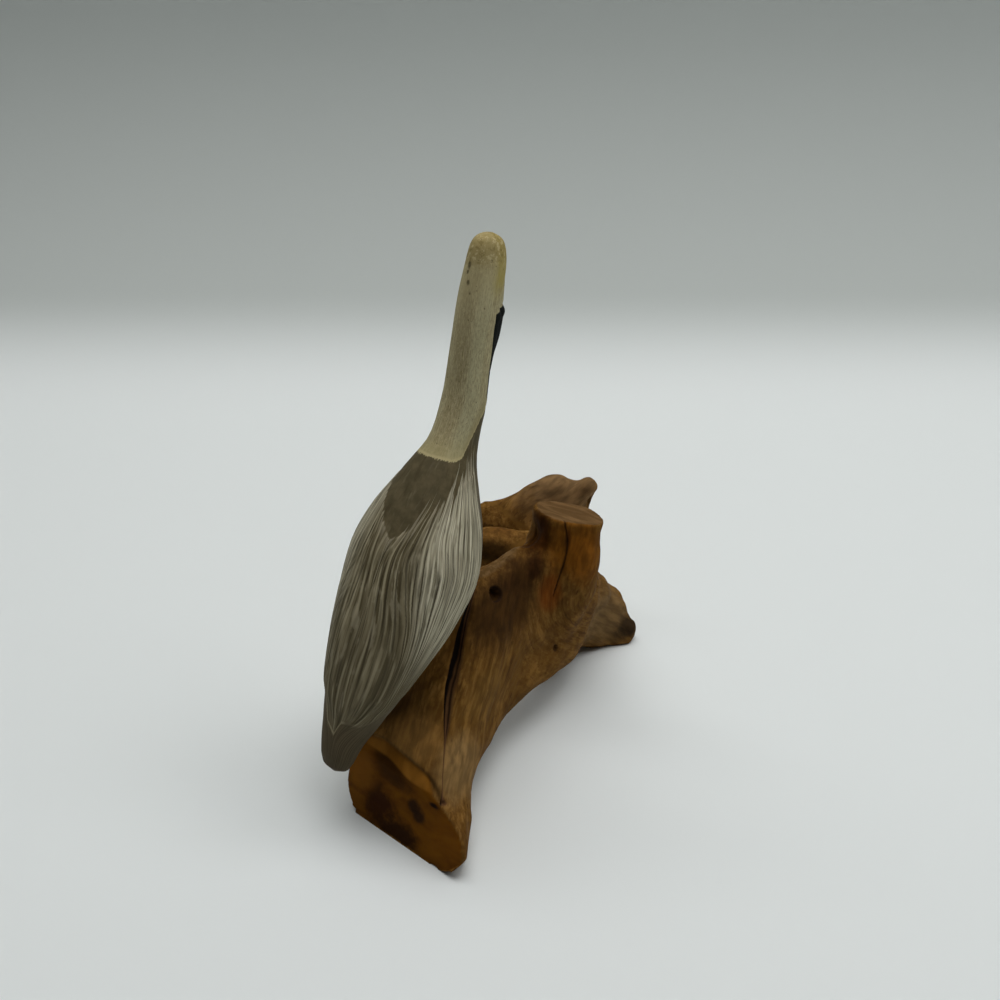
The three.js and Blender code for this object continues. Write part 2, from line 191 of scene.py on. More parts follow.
# Shallow hollows and, with a negative depth, swellings: middle, radius and depth.
HOLLOWS = [
    ((4.8, 10.0, 51.4), 5.5, 2.6),
    ((3.7, 13.5, 52.6), 5.0, 1.1),
    ((-1.6, 55.0, 36.4), 7.0, 2.6),
    ((-3.4, 53.2, 43.5), 5.0, -1.2),
    ((-10.2, 48.8, 44.5), 7.0, -1.2),
    ((-14.6, 43.3, 43.7), 6.0, 1.0),
    ((-22.8, 33.8, 38.7), 6.0, 1.0),
    ((12.6, 46.0, 16.8), 6.0, 0.9),
    ((10.5, 38.0, 21.0), 6.0, -1.5),
]
# The foot's two saw cuts: a point on each plane, its lean upwards and its turn. The stub is cut level.
FRONT_CUT = {"y": 6.9, "z": 0.0, "lean": 16, "turn": -4}
BEVEL_CUT = {"y": 11.7, "z": 16.3, "lean": 36, "turn": -4}
STUB_TOP = 58.0
# The foot's lower right corner is worn round: the round's middle, radius and fading along y.
WORN_CORNER = {"x": 19.6, "z": 8.9, "radius": 9.0, "behind": -34, "until": -24}

# Weathered relief, in millimetres.
WEATHERING = {
    "rib": 0.17, "fine_rib": 0.1, "lump": 0.26, "crack": 1.7, "groove": 0.45, "over_bevel": 0.2,
    "under_bevel": 0.3, "crest": 0.25,
}

# Face sizes in millimetres, then how often each surface is smoothed.
PELICAN_VOXEL = 0.32
DRIFTWOOD_VOXEL = 0.475
PELICAN_SMOOTHING = 14
CROWN_SMOOTHING = 53
DRIFTWOOD_SMOOTHING = 28
CORNER_SMOOTHING = 3
ROOT_SMOOTHING = 31
RIM_SMOOTHING = 11
# A seam is where grain coordinates jump by more than this. It fades out over some vertices.
SEAM_JUMP = 1.24
SEAM_PASSES = 5

# The dark and the light tone of each ground colour, in screen values.
TONES = {
    "dull_wing": ((86, 78, 56), (142, 132, 105)),
    "pale_wing": ((138, 132, 110), (192, 185, 160)),
    "pale_line": ((174, 164, 134), (222, 215, 190)),
    "mantle": ((78, 70, 49), (95, 85, 62)),
    "tail": ((98, 91, 74), (114, 106, 87)),
    "tail_tip": ((74, 65, 48), (90, 80, 61)),
    "belly": ((84, 76, 60), (118, 109, 90)),
    "neck": ((155, 145, 110), (187, 178, 141)),
    "wood": ((100, 69, 27), (132, 95, 45)),
    "crest": ((88, 66, 38), (114, 89, 58)),
    "cut": ((85, 49, 4), (110, 67, 8)),
    "bevel": ((124, 80, 24), (148, 99, 36)),
    "stub_top": ((90, 66, 38), (114, 86, 54)),
}

# The camera: place in metres, degrees down and around, and lens in millimetres.
CAMERA_PLACE = (0.1221, -0.1705, 0.186)
CAMERA_DOWN = 30
CAMERA_AZIMUTH = 35
CAMERA_LENS = 36.1
# The backdrop in metres: where its floor starts and where it bends up, along the camera's sight.
BACKDROP = {"front": -1.2, "back": 0.178, "bend": 0.15, "height": 1.2, "half_width": 2.0}
BEND_STEPS = 16
# Linear colours of the floor and of the wall, whose paper is painted darker as shade, and the height in
# millimetres over which they blend.
FLOOR_COLOUR = (0.76, 0.79, 0.78)
SHADED_WALL_COLOUR = (0.46, 0.49, 0.47)
WALL_BLEND = 30
PAPER_ROUGHNESS = 0.75
ROOM_COLOUR = (0.93, 0.97, 1.0)
ROOM_STRENGTH = 0.04
# Round lamps: name, place and aim in metres, size and power.
LAMPS = [
    ("ceiling", (0.0, 0.1, 1.1), (0, 0.02, 0.03), 0.86, 7.9),
    ("right_lamp", (0.42, 0.3, 0.72), (0, 0.0, 0.03), 0.4, 1.45),
    ("left_lamp", (-0.45, 0.05, 0.72), (0, 0.0, 0.03), 0.4, 1.3),
]


# Numbers spread over a lattice, and the smooth noise between them.
def lattice_value(cells, seed):
    mixed = cells[:, 0] * 374761393 + cells[:, 1] * 668265263 + cells[:, 2] * 974634777 + seed * 144665
    mixed = (mixed ^ (mixed >> 13)) * 1274126177 & 0xFFFFFFFF
    return ((mixed ^ (mixed >> 16)) & 0xFFFF) / 0xFFFF


def smooth_noise(points, seed=0):
    """Noise from -1 to 1 with features about one unit wide."""
    base = np.floor(points).astype(np.int64)
    part = points - base
    part = part * part * (3 - 2 * part)
    total = np.zeros(len(points))
    for corner in np.ndindex(2, 2, 2):
        weight = np.prod(np.where(corner, part, 1 - part), axis=1)
        total += weight * lattice_value(base + np.array(corner), seed)
    return 2 * total - 1


def ramp(low, high, value):
    """0 at low, 1 at high and smooth between them."""
    share = np.clip((value - low) / (high - low), 0, 1)
    return share * share * (3 - 2 * share)


def columns(*values):
    """Points or vectors from their coordinates."""
    return np.stack(values, axis=1)


def read_table(table, value):
    """A table's second column, read at a value of its first."""
    firsts, seconds = np.array(table, float).T
    return np.interp(value, firsts, seconds)


def along_curve(stations, count):
    """Points at even shares along a smooth curve through the stations."""
    share = np.linspace(0, 1, count) * (len(stations) - 1)
    index = np.minimum(share.astype(int), len(stations) - 2)
    before, start, end, after = [
        stations[np.clip(index + step, 0, len(stations) - 1)] for step in (-1, 0, 1, 2)
    ]
    u = (share - index)[:, None]
    bend = 3 * (start - end) + after - before
    sag = 2 * before - 5 * start + 4 * end - after
    return start + 0.5 * u * (end - before + u * (sag + u * bend))


def directions(line):
    """The unit direction at each sample of a line."""
    ahead = np.gradient(line, axis=0)
    return ahead / np.linalg.norm(ahead, axis=1, keepdims=True)


def lengths(line):
    """The length of a line up to each of its samples."""
    return np.concatenate([[0], np.cumsum(np.linalg.norm(np.diff(line, axis=0), axis=1))])


def nearest_index(points, samples, block=4000):
    """For each point, the index of the nearest sample. Blocks of points keep the memory small."""
    found = np.empty(len(points), int)
    for start in range(0, len(points), block):
        some = points[start:start + block]
        found[start:start + block] = ((some[:, None, :] - samples[None]) ** 2).sum(2).argmin(1)
    return found


# Objects and meshes.
def add_object(name, data):
    made = bpy.data.objects.new(name, data)
    bpy.context.scene.collection.objects.link(made)
    return made


def fine_copy(node, name, voxel):
    """A copy of a node's mesh, rebuilt from small even faces."""
    copy = add_object(name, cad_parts[node].data.copy())
    copy.data.materials.clear()
    remesh = copy.modifiers.new("even_faces", "REMESH")
    remesh.mode = "VOXEL"
    remesh.voxel_size = voxel * MM
    evaluated = copy.evaluated_get(bpy.context.evaluated_depsgraph_get())
    mesh = bpy.data.meshes.new_from_object(evaluated)
    mesh.name = name
    copy.modifiers.clear()
    copy.data = mesh
    for polygon in mesh.polygons:
        polygon.use_smooth = True
    return copy


def points_of(mesh):
    """The mesh's vertices in millimetres."""
    flat = np.empty(3 * len(mesh.vertices))
    mesh.vertices.foreach_get("co", flat)
    return flat.reshape(-1, 3) / MM


def place_points(mesh, points):
    mesh.vertices.foreach_set("co", (points * MM).ravel())
    mesh.update()


def normals_of(mesh):
    flat = np.empty(3 * len(mesh.vertices))
    mesh.vertex_normals.foreach_get("vector", flat)
    return flat.reshape(-1, 3)


def edges_of(mesh):
    flat = np.empty(2 * len(mesh.edges), np.int32)
    mesh.edges.foreach_get("vertices", flat)
    return flat.reshape(-1, 2)


def neighbour_mean(values, edges):
    """The mean of each vertex's neighbours."""
    count = len(values)
    ends = np.concatenate([edges[:, 0], edges[:, 1]])
    others = np.concatenate([edges[:, 1], edges[:, 0]])
    degree = np.maximum(np.bincount(ends, minlength=count), 1)
    sums = [np.bincount(ends, weights=column[others], minlength=count) for column in values.T]
    return np.stack(sums, axis=1) / degree[:, None]


def relaxed(points, edges, share, passes):
    """Moves each vertex towards its neighbours' mean by half its share, a number of times."""
    for _ in range(passes):
        points = points + 0.5 * share * (neighbour_mean(points, edges) - points)
    return points


def without_facets(points, edges, passes, planes=()):
    """Smooths the points without shrinking them. Points on a plane stay on it."""
    held = [(np.abs((points - spot) @ facing) < 0.12, spot, facing) for spot, facing in planes]
    for step in range(2 * passes):
        strength = 0.5 if step % 2 == 0 else -0.52
        points = points + strength * (neighbour_mean(points, edges) - points)
        for on_plane, spot, facing in held:
            off = (points[on_plane] - spot) @ facing
            points[on_plane] -= off[:, None] * facing
    return points


def add_attributes(mesh, attributes):
    """Stores a number or a vector for each vertex, under each name."""
    for name, values in attributes.items():
        vector = values.ndim == 2
        made = mesh.attributes.new(name, "FLOAT_VECTOR" if vector else "FLOAT", "POINT")
        made.data.foreach_set("vector" if vector else "value", values.astype(np.float32).ravel())


# Material building.
def put(tree, socket, value):
    """Links a socket to a value, or sets it to a number or a colour."""
    if isinstance(value, Value):
        tree.links.new(value.socket, socket)
    elif socket.type == "RGBA":
        socket.default_value = (*value, 1.0)
    else:
        socket.default_value = value


def add_node(tree, kind, inputs, output=0, **settings):
    """One output of a new node."""
    made = tree.nodes.new("ShaderNode" + kind)
    for key, value in settings.items():
        setattr(made, key, value)
    for key, value in inputs.items():
        put(tree, made.inputs[key], value)
    return Value(tree, made.outputs[output])


class Value:
    """A number, place or colour inside a material. What is done to it adds nodes."""

    def __init__(self, tree, socket):
        self.tree = tree
        self.socket = socket

    def math(self, operation, other=0.0):
        return add_node(self.tree, "Math", {0: self, 1: other}, operation=operation)

    def __add__(self, other):
        return self.math("ADD", other)

    def __sub__(self, other):
        return self.math("SUBTRACT", other)

    def __rsub__(self, other):
        return add_node(self.tree, "Math", {0: other, 1: self}, operation="SUBTRACT")

    def __mul__(self, other):
        return self.math("MULTIPLY", other)

    def __truediv__(self, other):
        return self.math("DIVIDE", other)

    def __abs__(self):
        return self.math("ABSOLUTE")

    def larger(self, other):
        return self.math("MAXIMUM", other)

    def step(self, low, high, to_low=0.0, to_high=1.0):
        """A soft step from to_low at low to to_high at high."""
        inputs = {0: self, 1: low, 2: high, 3: to_low, 4: to_high}
        return add_node(self.tree, "MapRange", inputs, interpolation_type="SMOOTHSTEP")

    def scaled(self, *factors):
        return add_node(self.tree, "VectorMath", {0: self, 1: factors}, operation="MULTIPLY")

    def moved(self, *offset):
        return add_node(self.tree, "VectorMath", {0: self, 1: offset}, operation="ADD")

    def length(self):
        return add_node(self.tree, "VectorMath", {0: self}, "Value", operation="LENGTH")

    def part(self, index):
        return add_node(self.tree, "SeparateXYZ", {0: self}, index)

    def noise(self, detail=2.0, roughness=0.5, scale=1.0, distortion=0.0):
        inputs = {
            "Vector": self, "Scale": scale, "Detail": detail, "Roughness": roughness,
            "Distortion": distortion,
        }
        return add_node(self.tree, "TexNoise", inputs)

    def near(self, centre, radii, edge):
        """1 at a place, fading to 0 at the given distances. The edge value shifts the fade."""
        offset = self.moved(*(-value for value in centre)).scaled(*(1 / value for value in radii))
        return (offset.length() + edge).step(0.35, 1.0, 1.0, 0.0)

    def mix(self, a, b):
        """Between two colours, by this share."""
        return add_node(self.tree, "Mix", {0: self, 6: a, 7: b}, 2, data_type="RGBA")

    def tones(self, name):
        """A ground colour, from its dark tone at 0 to its light tone at 1."""
        dark, light = TONES[name]
        return self.mix(from_screen(dark), from_screen(light))

    def coated(self, *coats):
        """Lays screen colours over this one in turn, each by its share."""
        colour = self
        for share, coat in coats:
            colour = share.mix(colour, from_screen(coat))
        return colour

    def bump(self, strength, distance, below=None):
        inputs = {"Height": self, "Strength": strength, "Distance": distance * MM}
        if below is not None:
            inputs["Normal"] = below
        return add_node(self.tree, "Bump", inputs)


class Surface:
    """A material, and places in it in millimetres."""

    def __init__(self, name):
        self.material = bpy.data.materials.new(name)
        self.material.use_nodes = True
        self.tree = self.material.node_tree
        place = add_node(self.tree, "TexCoord", {}, "Object")
        self.spot = place.scaled(1 / MM, 1 / MM, 1 / MM)

    def read(self, name, output="Fac"):
        return add_node(self.tree, "Attribute", {}, output, attribute_name=name)

    def filled(self, inputs):
        shader = self.tree.nodes["Principled BSDF"]
        for name, value in inputs.items():
            put(self.tree, shader.inputs[name], value)
        return self.material


def from_screen(colour):
    """A colour given in screen values from 0 to 255, as the linear values that shaders use."""
    shares = [value / 255 for value in colour]
    return [part / 12.92 if part <= 0.04045 else ((part + 0.055) / 1.055) ** 2.4 for part in shares]


# The pelican.
def bird_coordinates(points):
    """Each point's working coordinates, share of the body line, angle from the middle of the back
    and length along the line. The line's whole length comes last."""
    local = points - ORIGIN
    line = along_curve(BODY_LINE, LINE_SAMPLES)
    middle = line[:, :2]
    ahead = directions(middle)
    backward = columns(-ahead[:, 1], ahead[:, 0])
    length = lengths(middle)
    nearest = nearest_index(local[:, 1:], middle)
    offset = local[:, 1:] - middle[nearest]
    depth = (offset * backward[nearest]).sum(1)
    slack = (offset * ahead[nearest]).sum(1)
    angle = np.degrees(np.arctan2(local[:, 0] / line[nearest, 2], depth / line[nearest, 3]))
    return local, nearest / (LINE_SAMPLES - 1), angle, length[nearest] + slack, length[-1]


def feather_place(share, angle):
    """How far across the wing each vertex lies, between the lines that the feathers follow."""
    steps = np.linspace(*WING_SHARES, GUIDE_SAMPLES)
    window = np.hanning(GUIDE_WINDOW)
    window /= window.sum()
    guides = []
    for _, stations in FEATHER_GUIDES:
        line = np.pad(read_table(stations, steps), GUIDE_WINDOW // 2, mode="edge")
        guides.append(np.convolve(line, window, mode="valid"))
    guides = np.maximum.accumulate(np.array(guides), axis=0)
    at_share = np.array([np.interp(share, steps, line) for line in guides])
    places = [place for place, _ in FEATHER_GUIDES]
    across = np.full(len(share), float(places[0]))
    for index in range(len(places) - 1):
        low, high = at_share[index], at_share[index + 1]
        inside = (angle >= low) & (angle <= high)
        part = (angle - low) / np.maximum(high - low, 1e-3)
        value = places[index] + part * (places[index + 1] - places[index])
        across = np.where(inside, value, across)
    return np.where(angle > at_share[-1], places[-1], across)


def round_crown(points, edges):
    """Turns the flat top of the head into a dome of the same height."""
    top = points[:, 2].max()
    crown = ramp(*CROWN_HEIGHTS, points[:, 2])[:, None]
    points = relaxed(points, edges, crown, CROWN_SMOOTHING)
    lift = ramp(CROWN_LIFT_FROM, top, points[:, 2])
    points[:, 2] += lift * (top - points[:, 2].max())
    return points


def before_neck(local):
    """How far each vertex lies in front of the body line at its height."""
    return local[:, 1] - np.interp(local[:, 2], BODY_LINE[:, 1], BODY_LINE[:, 0])


def painted_zones(local, share, angle, total):
    """How far each vertex lies inside the edge of each painted zone, and outside the eyes."""
    turn = np.abs(angle)
    height = local[:, 2]
    below_wing = (turn - read_table(WING_LOWER_EDGE, share)) * math.radians(1)
    bill_side = read_table(BILL_SHAPE, height) - np.abs(local[:, 0])
    bill_back = before_neck(local) - read_table(BILL_START, height)
    eye_offset = columns(np.abs(local[:, 0]), local[:, 1], height) - EYE_PLACE
    return {
        "mantle_edge": (share - read_table(MANTLE_END, turn)) * total,
        "neck_edge": (share - read_table(NECK_END, turn)) * total,
        "tail_edge": (read_table(TAIL_END, angle) - share) * total,
        "belly_edge": below_wing * read_table(BODY_HALF_WIDTH, share),
        "bill_edge": np.min([bill_side, bill_back, BILL_TOP - height, height - BILL_TIP], axis=0),
        "eye_gap": np.linalg.norm(eye_offset, axis=1) - EYE_RADIUS,
    }


def bill_relief(local, bill_edge):
    """The swollen cheeks, the step above them and the fine groove around the bill."""
    height = local[:, 2]
    ahead = before_neck(local)
    in_front = ramp(0.5, 3.5, ahead)
    cheeks = in_front * ramp(*CHEEK_BOTTOM, height) * ramp(*CHEEK_TOP, height)
    step = in_front * ramp(1.6, 0.1, np.abs(height - BILL_STEP))
    groove = ramp(0.6, 0.1, np.abs(bill_edge + 0.35)) * ramp(1, 3, ahead)
    return CARVING["cheek"] * cheeks + CARVING["step"] * step - CARVING["groove"] * groove


def bird_relief(points, angle, length, across, zones):
    """Feather grooves on the wings, knife facets on the neck and low lumps elsewhere."""
    level = np.zeros(len(points))
    wing = ramp(-0.2, 0.5, -zones["mantle_edge"]) * ramp(-0.2, 0.5, -zones["tail_edge"])
    wing *= ramp(0.2, -0.3, zones["belly_edge"])
    on_neck = ramp(0, 2, zones["neck_edge"])
    groove_place = columns(across / 0.9, length / 16, level)
    grooves = np.abs(smooth_noise(groove_place, 3)) * 0.6 + smooth_noise(groove_place * 2.1, 5) * 0.4
    facets = smooth_noise(columns(angle / 38, length / 30, level), 8)
    knife = smooth_noise(columns(angle / 14, length / 7, level), 9)
    relief = wing * (CARVING["wing"] + CARVING["feather"] * grooves)
    relief += on_neck * (CARVING["facet"] * facets + CARVING["knife"] * knife)
    relief += (1 - np.maximum(wing, on_neck)) * CARVING["lump"] * smooth_noise(points / 3.5, 4)
    return relief


def make_pelican():
    bird = fine_copy("pelican", "painted_pelican", PELICAN_VOXEL)
    mesh = bird.data
    edges = edges_of(mesh)
    points = without_facets(points_of(mesh), edges, PELICAN_SMOOTHING)
    points = round_crown(points, edges)
    place_points(mesh, points)
    local, share, angle, length, total = bird_coordinates(points)
    across = feather_place(share, angle)
    zones = painted_zones(local, share, angle, total)
    relief = bird_relief(points, angle, length, across, zones) + bill_relief(local, zones["bill_edge"])
    place_points(mesh, points + normals_of(mesh) * relief[:, None])

    pale = np.maximum(ramp(5, 10, across), 0.9 * ramp(-3, -11, across))
    add_attributes(mesh, {
        **zones, "turn": angle, "pale_wing": pale * ramp(0.2, 0.34, share),
        "crown": ramp(112, 127, local[:, 2]), "feather": columns(across, length, np.sign(angle)),
        "neck_place": columns(angle * 0.09, length, np.zeros(len(angle))),
    })
    mesh.materials.append(BirdPaint().finished())
    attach(bird, "root")
    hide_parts("pelican")


class BirdPaint(Surface):
    """Matt paint: streaked wings, dark mantle and tail, cream neck, yellowish crown, black bill."""

    def __init__(self):
        super().__init__("pelican_paint")
        self.feather = self.read("feather", "Vector")
        self.across, self.along, self.side = [self.feather.part(index) for index in range(3)]
        self.neck_place = self.read("neck_place", "Vector")
        self.turn = self.read("turn")
        self.middle = self.feather.scaled(1.9, 0.04, 5).noise()
        self.fine = self.feather.scaled(4.6, 0.13, 7).noise(1)
        self.strands = self.middle * 0.6 + self.fine * 0.4
        self.streak = self.strands.step(0.4, 0.6)
        self.mottle = self.spot.noise(4, 0.6, scale=0.35)
        self.ragged = self.neck_place.scaled(2.6, 0.5, 1).noise(3, 0.7) - 0.5

    def strokes(self, spacing, width, seed, least, most, slant=0.0):
        """Brush strokes along the feathers, or slanted to them, with stronger and weaker stretches."""
        sway = self.feather.scaled(0.22, 0.035, 1).moved(seed, seed, 0).noise(1)
        lane = (self.across - self.along * slant) / spacing + sway * 1.6
        gap = abs(lane.math("FRACT") - 0.5)
        own = {0: lane.math("FLOOR") * 3.7, 1: self.along * 0.07, 2: self.side + seed}
        strength = add_node(self.tree, "CombineXYZ", own).noise(1).step(least, most)
        return gap.step(0.3 * width / spacing, width / spacing, 1, 0) * strength

    def wing(self, dark_line):
        """Pale strands with thin dark lines on the right, browner and duller elsewhere."""
        pale = self.read("pale_wing")
        broad = self.feather.scaled(0.4, 0.03, 3).noise()
        smudge = self.feather.scaled(0.75, 0.14, 5).moved(7, 3, 1).noise(3, 0.6)
        dull = self.streak.tones("dull_wing").coated((broad.step(0.36, 0.62, 0.55, 0), (70, 61, 40)))
        wing = pale.mix(dull, self.streak.tones("pale_wing")).coated(
            (smudge.step(0.47, 0.36, 0, 0.45), (84, 76, 56)),
            (smudge.step(0.54, 0.66, 0, 0.5), (158, 149, 124)),
        )
        light_line = self.strokes(0.95, 0.24, 2.0, 0.42, 0.56) * 0.6
        crossing = self.across.step(-7, -2.5, 1, 0) * self.along.step(36, 56, 1, 0)
        cross_dark = self.strokes(1.9, 0.26, 14.0, 0.42, 0.54, slant=0.4) * crossing
        cross_light = self.strokes(1.25, 0.3, 11.0, 0.42, 0.54, slant=0.4) * crossing
        by_mantle = self.read("mantle_edge").step(-3.4, -0.1)
        return light_line.mix(wing, pale.tones("pale_line")).coated(
            (dark_line * 0.72, (46, 40, 27)),
            (cross_dark * 0.55, (54, 48, 34)),
            (cross_light * 0.6, (160, 151, 124)),
            (self.along.step(22, 46, 0.34, 0), (80, 73, 55)),
            (by_mantle * self.middle.step(0.4, 0.6, 0, 0.65), (142, 133, 112)),
        )

    def mantle(self):
        brushed = self.neck_place.scaled(0.9, 0.12, 1).noise(3, 0.6)
        return self.mottle.step(0.35, 0.7).tones("mantle").coated(
            (self.fine.step(0.6, 0.75, 0, 0.3), (108, 99, 80)),
            (brushed.step(0.42, 0.32, 0, 0.5), (66, 57, 38)),
            (brushed.step(0.58, 0.7, 0, 0.45), (118, 108, 84)),
        )

    def tail(self):
        tip = self.middle.step(0.4, 0.6).tones("tail_tip")
        return self.along.step(9, 20, 1, 0).mix(self.mottle.step(0.35, 0.7).tones("tail"), tip)

    def neck(self, grain, pits):
        """Cream paint, greyer low down, yellower on the cheeks and the crown. A painted shade runs down
        the middle of the back and a painted highlight strip down its right side, standing in for light
        on the carved facets.
        """
        edge = self.read("neck_edge")
        crown = self.read("crown")
        on_crown = crown.step(0.6, 0.95)
        brush = self.neck_place.scaled(1.3, 0.1, 1).noise()
        flecks = self.neck_place.scaled(3.2, 0.9, 1).noise(4, 0.75)
        specks = self.spot.noise(3, 0.6, scale=0.9)
        # A painted highlight strip down the right side of the neck, standing in for light on a carved
        # facet.
        painted_highlight_strip = abs(self.turn - 58).step(14, 26, 0.5, 0) * crown.step(0.3, 0.8, 1, 0)
        cheek = self.turn.step(60, 96, 0.1, 1) * crown.step(0.02, 0.5)
        chip_edge = (self.mottle - 0.5) * 2.5
        chips = [self.spot.near(centre, (size, size, 1.5 * size), chip_edge) for centre, size in CHIPS]
        return grain.step(0.4, 0.6).tones("neck").coated(
            (brush.step(0.42, 0.58, 0.5, 0), (144, 133, 98)),
            # Painted shade down the middle of the back, standing in for light on the carved facets.
            (abs(self.turn - 6).step(12, 34, 0.45, 0), (144, 130, 94)),
            (painted_highlight_strip, (172, 168, 134)),
            (flecks.step(0.54, 0.6, 0, 0.45), (198, 184, 140)),
            (flecks.step(0.47, 0.41, 0, 0.42), (116, 105, 74)),
            (edge.step(22, 38, 0, 0.35), (196, 182, 140)),
            (edge.step(0.5, 8, 0.7, 0), (147, 137, 97)),
            (edge.step(0.4, 1.1, 0.5, 0), (188, 174, 130)),
            (cheek * flecks.step(0.4, 0.55, 0.55, 0.9), (160, 145, 74)),
            (crown.step(0.7, 1) * 0.7, (148, 130, 78)),
            (specks.step(0.56, 0.62, 0, 0.5) * on_crown, (206, 190, 146)),
            (specks.step(0.44, 0.38, 0, 0.45) * on_crown, (112, 94, 50)),
            *[(chip * 0.75, (64, 56, 38)) for chip in chips],
            (pits.step(0.66, 0.76, 0, 0.6), (70, 60, 42)),
        )

    def zone(self, edge, wobble, softness):
        """1 inside a painted zone, with a ragged edge."""
        return (self.read(edge) + self.ragged * wobble).step(-softness, softness)

    def finished(self):
        """The zones over each other. Strands run across the edges of the tail and the mantle."""
        dark_line = self.strokes(1.4, 0.2, 5.0, 0.42, 0.54).larger(
            self.strokes(0.75, 0.18, 8.0, 0.45, 0.58) * 0.65)
        grain = self.neck_place.scaled(4.5, 0.3, 1).noise(3, 0.65)
        pits = self.spot.noise(scale=1.5)
        mantle_edge = self.read("mantle_edge")
        tail_edge = self.read("tail_edge")
        eye_gap = self.read("eye_gap")
        tail_end = tail_edge + (self.strands - 0.5) * 9
        tail_rim = abs(tail_edge + 0.35).step(0.1, 0.6, 1, 0) * self.turn.step(8, 22, 0.75, 0.15)
        stagger = self.feather.scaled(1.1, 0.02, 5).noise() * 26 - 13.6
        mantle_end = mantle_edge + stagger * self.turn.step(4, 26, 0.12, 1)
        bill = self.zone("bill_edge", 0.3, 0.1)
        eye = eye_gap.step(-0.05, 0.08, 1, 0)
        colour = self.zone("belly_edge", 0.8, 0.3).mix(self.wing(dark_line), self.streak.tones("belly"))
        colour = tail_end.step(-1.2, 0.5).mix(colour, self.tail()).coated((tail_rim, (150, 139, 110)))
        colour = mantle_end.step(-0.25, 0.25).mix(colour, self.mantle())
        colour = self.zone("neck_edge", 2.6, 0.12).mix(colour, self.neck(grain, pits))
        colour = colour.coated(
            (bill, (14, 16, 13)), (eye_gap.step(0.25, 0.4, 1, 0), (196, 182, 130)), (eye, (14, 13, 12)))
        # Streaks stand up on the wings, and dark lines are cut in.
        on_wing = mantle_edge.larger(tail_edge).step(-0.3, 0.2, 1, 0.1)
        wing_bump = ((self.streak * 0.6 + dark_line * -0.9) * on_wing).bump(0.5, 0.12)
        return self.filled({
            "Base Color": colour,
            "Roughness": self.mottle.step(0.3, 0.7, 0.62, 0.78) + bill.larger(eye) * 0.1,
            "Specular IOR Level": 0.08,
            "Normal": (grain + pits * 0.5).bump(0.35, 0.1, below=wing_bump),
        })


# The driftwood.
def cut_plane(cut):
    """A point on a saw cut and the way it faces, out of the wood."""
    lean, turn = math.radians(cut["lean"]), math.radians(cut["turn"])
    level = math.cos(lean)
    facing = np.array([math.sin(turn) * level, -math.cos(turn) * level, math.sin(lean)])
    return np.array([0, cut["y"], cut["z"]]) + ORIGIN, facing


def grain_coordinates(points, stations):
    """Each point's two offsets from a grain line and its place along it, and its distance."""
    line = along_curve(np.array(stations, float), GRAIN_SAMPLES)
    ahead = directions(line)
    side = np.empty_like(ahead)
    side[0] = np.cross(ahead[0], (0, 0, 1)) if abs(ahead[0][2]) < 0.9 else np.array([1.0, 0, 0])
    for index in range(1, len(line)):
        side[index] = side[index - 1] - ahead[index] * (side[index - 1] @ ahead[index])
    side /= np.linalg.norm(side, axis=1, keepdims=True)
    lift = np.cross(side, ahead)
    nearest = nearest_index(points, line)
    offset = points - line[nearest]
    across = (offset * side[nearest]).sum(1)
    upward = (offset * lift[nearest]).sum(1)
    along = lengths(line)[nearest] + (offset * ahead[nearest]).sum(1)
    return columns(across, upward, along), np.linalg.norm(offset, axis=1)


def blended_grain(points):
    """Grain coordinates of the trunk, the stub and the nearer branch, and how much each counts."""
    grains = {name: grain_coordinates(points, line) for name, line in GRAIN_LINES.items()}
    near_root = grains["root"][1] < grains["heel"][1]
    branch = np.where(near_root[:, None], grains["root"][0], grains["heel"][0])
    branch_gap = np.minimum(grains["root"][1], grains["heel"][1])
    gaps = np.array([grains["trunk"][1], grains["stub"][1], branch_gap])
    weights = np.exp((gaps.min(0) - gaps) / GRAIN_BLEND)
    return [grains["trunk"][0], grains["stub"][0], branch], weights / weights.sum(0)


def grain_seams(places, weights, edges):
    """1 beside a jump in the grain coordinates, fading out over a few vertices."""
    seam = np.zeros(weights.shape[1])
    for place, share in zip(places, weights):
        jump = np.linalg.norm(place[edges[:, 0]] - place[edges[:, 1]], axis=1) > SEAM_JUMP
        seen = share[edges].max(axis=1) > 0.03
        seam[edges[jump & seen].ravel()] = 1
    for _ in range(SEAM_PASSES):
        seam = np.maximum(seam, 0.9 * neighbour_mean(seam[:, None], edges)[:, 0])
    return ramp(0.1, 0.6, seam)


def line_offset(points, normals, stations):
    """For a line drawn on the surface: signed distance across it, its half width, and 1 near it."""
    line = along_curve(np.array(stations, float), DRAWN_SAMPLES)
    ahead = directions(line[:, :3])
    nearest = nearest_index(points, line[:, :3])
    offset = points - line[nearest, :3]
    sideways = np.cross(ahead[nearest], normals)
    sideways /= np.maximum(np.linalg.norm(sideways, axis=1, keepdims=True), 1e-3)
    across = (offset * sideways).sum(1)
    beyond = np.abs((offset * ahead[nearest]).sum(1))
    away = np.abs((offset * normals).sum(1))
    drawn = ramp(0.9, 0.2, beyond) * ramp(4, 2, away)
    return columns(across, line[nearest, 3], drawn)


def below_bevel(points, front, bevel):
    """How far below the line where the foot's two cuts meet each point on them lies."""
    slope = math.sqrt(1 - (front[1] @ bevel[1]) ** 2)
    behind_front, behind_bevel = [(spot - points) @ facing / slope for spot, facing in (front, bevel)]
    return behind_bevel - behind_front


def rounded_root(points, edges):
    """Rounds the back root's end."""
    share = ramp(33, 42, points[:, 1]) * ramp(32, 38, points[:, 2])
    return relaxed(points, edges, share[:, None], ROOT_SMOOTHING)


